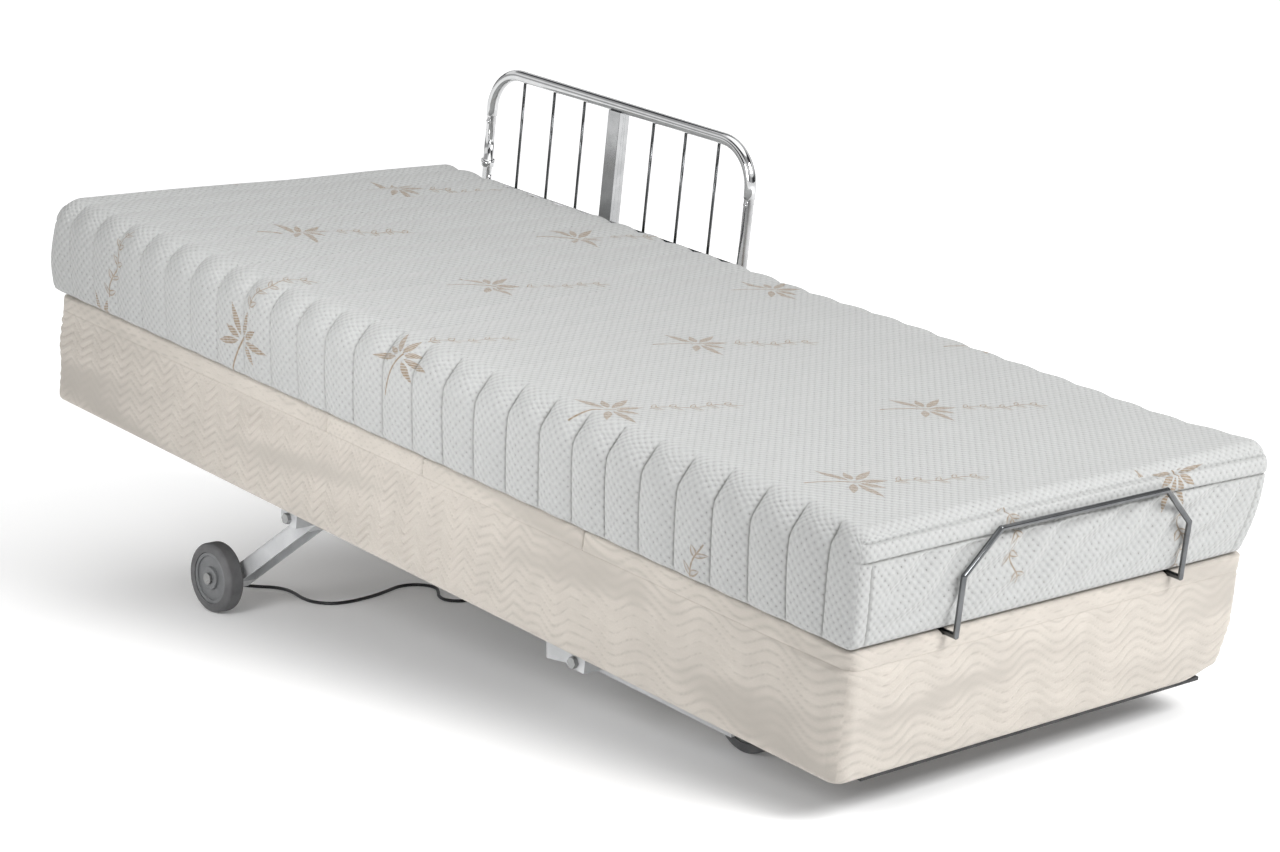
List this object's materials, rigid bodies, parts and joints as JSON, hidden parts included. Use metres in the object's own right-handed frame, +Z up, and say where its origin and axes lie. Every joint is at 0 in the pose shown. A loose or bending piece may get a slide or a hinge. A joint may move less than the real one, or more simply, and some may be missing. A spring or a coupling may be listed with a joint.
{
  "type": "adjustable hospital bed",
  "caption": "Single adjustable care bed with quilted mattress, upholstered base, hinged deck, wheeled folding lift arms, chrome drop-down side rail, mattress retainer and mains lead.",
  "frame": {"origin": "centre of the bed's box on the floor, without the mains lead", "axes": "+X towards the foot of the bed, +Y towards the side with the rail, +Z up; the bed is stored pitched, head end up, on its wheels"},
  "size_m": [2.0362, 0.996, 0.9072],
  "materials": {
    "base_fabric": "woven cream upholstery, quilted in waves",
    "deck_fabric": "woven cream upholstery over board",
    "mattress_knit": "quilted white knit",
    "chassis_steel": "satin black powder coat",
    "lift_steel": "light grey powder coat",
    "chrome": "polished chrome plate",
    "zinc": "zinc plated",
    "tyre": "dark grey solid rubber",
    "hub": "grey nylon",
    "black_plastic": "black moulded plastic",
    "housing": "anodised aluminium",
    "lead": "black rubber sheath"
  },
  "bodies": {
    "base": {"base_panel_near": "base_fabric", "base_panel_far": "base_fabric", "base_panel_head": "base_fabric", "base_panel_foot": "base_fabric", "bottom_trim": "black_plastic", "chassis_rails": "chassis_steel", "chassis_beams": "chassis_steel", "seat_bearers": "chassis_steel", "seat_hinge_pins": "zinc", "pivot_brackets": "lift_steel", "pivot_bolts": "zinc", "seat_panel": "deck_fabric", "lift_housings": "housing", "profile_housings": "housing", "actuator_motors": "black_plastic", "control_box": "black_plastic", "cord_gland": "black_plastic", "mains_lead_drop": "lead", "lead_coil": "lead", "mains_lead": "lead", "mains_plug": "black_plastic", "rail_receiver": "chrome", "mattress_seat": "mattress_knit", "mattress_hip_bend": "mattress_knit", "mattress_lap_bend": "mattress_knit"},
    "back_section": {"back_panel": "deck_fabric", "back_bearers": "chassis_steel", "back_crank": "chassis_steel", "mattress_back": "mattress_knit"},
    "thigh_section": {"thigh_panel": "deck_fabric", "thigh_bearers": "chassis_steel", "thigh_crank": "chassis_steel", "knee_hinge_pins": "zinc", "mattress_thigh": "mattress_knit"},
    "calf_section": {"calf_panel": "deck_fabric", "calf_bearers": "chassis_steel", "mattress_calf": "mattress_knit", "mattress_retainer": "chrome"},
    "head_lift": {"head_lift_arms": "lift_steel", "head_torsion_tube": "lift_steel", "head_wheel_axles": "chrome"},
    "foot_lift": {"foot_lift_arms": "lift_steel", "foot_torsion_tube": "lift_steel", "foot_wheel_axles": "chrome"},
    "wheel_head_near": {"tyre_head_near": "tyre", "hub_head_near": "hub"},
    "wheel_head_far": {"tyre_head_far": "tyre", "hub_head_far": "hub"},
    "wheel_foot_near": {"tyre_foot_near": "tyre", "hub_foot_near": "hub"},
    "wheel_foot_far": {"tyre_foot_far": "tyre", "hub_foot_far": "hub"},
    "head_rod": {"lift_rod_head": "zinc"},
    "foot_rod": {"lift_rod_foot": "zinc"},
    "back_push_rod": {"back_rod": "zinc"},
    "knee_push_rod": {"knee_rod": "zinc"},
    "side_rail": {"rail_hoop": "chrome", "rail_post": "chrome", "rail_bars": "chrome"},
    "rail_knob": {"rail_lock_knob": "black_plastic"}
  },
  "joints": [
    {"name": "head_lift", "type": "hinge", "parent": "base", "child": "head_lift", "pos_m": [-0.40879, -0.033, 0.21011], "axis": [0, -1, 0], "range_deg": [-40, 25]},
    {"name": "foot_lift", "type": "hinge", "parent": "base", "child": "foot_lift", "pos_m": [0.32344, -0.033, 0.10312], "axis": [0, 1, 0], "range_deg": [0, 65]},
    {"name": "back_raise", "type": "hinge", "parent": "base", "child": "back_section", "pos_m": [-0.19584, -0.033, 0.42255], "axis": [0, 1, 0], "range_deg": [0, 60], "deforming": ["mattress_hip_bend"]},
    {"name": "thigh_raise", "type": "hinge", "parent": "base", "child": "thigh_section", "pos_m": [0.05154, -0.033, 0.38641], "axis": [0, -1, 0], "range_deg": [0, 30], "deforming": ["mattress_lap_bend"]},
    {"name": "knee_bend", "type": "hinge", "parent": "thigh_section", "child": "calf_section", "pos_m": [0.42263, -0.033, 0.29783], "axis": [0, 1, 0], "range_deg": [0, 48.5]},
    {"name": "head_rod_slide", "type": "slide", "parent": "base", "child": "head_rod", "axis": [-0.9895, 0, 0.1446], "range_m": [-0.088, 0.0552]},
    {"name": "foot_rod_slide", "type": "slide", "parent": "base", "child": "foot_rod", "axis": [0.9895, 0, -0.1446], "range_m": [0, 0.1426]},
    {"name": "back_rod_slide", "type": "slide", "parent": "base", "child": "back_push_rod", "axis": [-0.9895, 0, 0.1446], "range_m": [0, 0.1293]},
    {"name": "knee_rod_slide", "type": "slide", "parent": "base", "child": "knee_push_rod", "axis": [0.9895, 0, -0.1446], "range_m": [0, 0.0618]},
    {"name": "rail_drop", "type": "slide", "parent": "base", "child": "side_rail", "axis": [0.1446, 0, 0.9895], "range_m": [-0.19, 0]},
    {"name": "rail_knob_turn", "type": "hinge", "parent": "base", "child": "rail_knob", "pos_m": [-0.58125, 0.454, 0.36466], "axis": [0, 1, 0], "range_deg": [-180, 0]},
    {"name": "wheel_head_near_spin", "type": "hinge", "parent": "head_lift", "child": "wheel_head_near", "pos_m": [-0.6479, -0.389, 0.0625], "axis": [0, 1, 0], "continuous": true},
    {"name": "wheel_head_far_spin", "type": "hinge", "parent": "head_lift", "child": "wheel_head_far", "pos_m": [-0.6479, 0.323, 0.0625], "axis": [0, 1, 0], "continuous": true},
    {"name": "wheel_foot_near_spin", "type": "hinge", "parent": "foot_lift", "child": "wheel_foot_near", "pos_m": [0.60149, -0.298, 0.0625], "axis": [0, 1, 0], "continuous": true},
    {"name": "wheel_foot_far_spin", "type": "hinge", "parent": "foot_lift", "child": "wheel_foot_far", "pos_m": [0.60149, 0.232, 0.0625], "axis": [0, 1, 0], "continuous": true}
  ],
  "couplings": [
    {"joint": "knee_bend", "follows": "thigh_raise", "ratio": 1.6},
    {"joint": "head_rod_slide", "follows": "head_lift", "m_per_rad": 0.1253},
    {"joint": "foot_rod_slide", "follows": "foot_lift", "m_per_rad": 0.1253},
    {"joint": "back_rod_slide", "follows": "back_raise", "m_per_rad": 0.123},
    {"joint": "knee_rod_slide", "follows": "thigh_raise", "m_per_rad": 0.117}
  ]
}
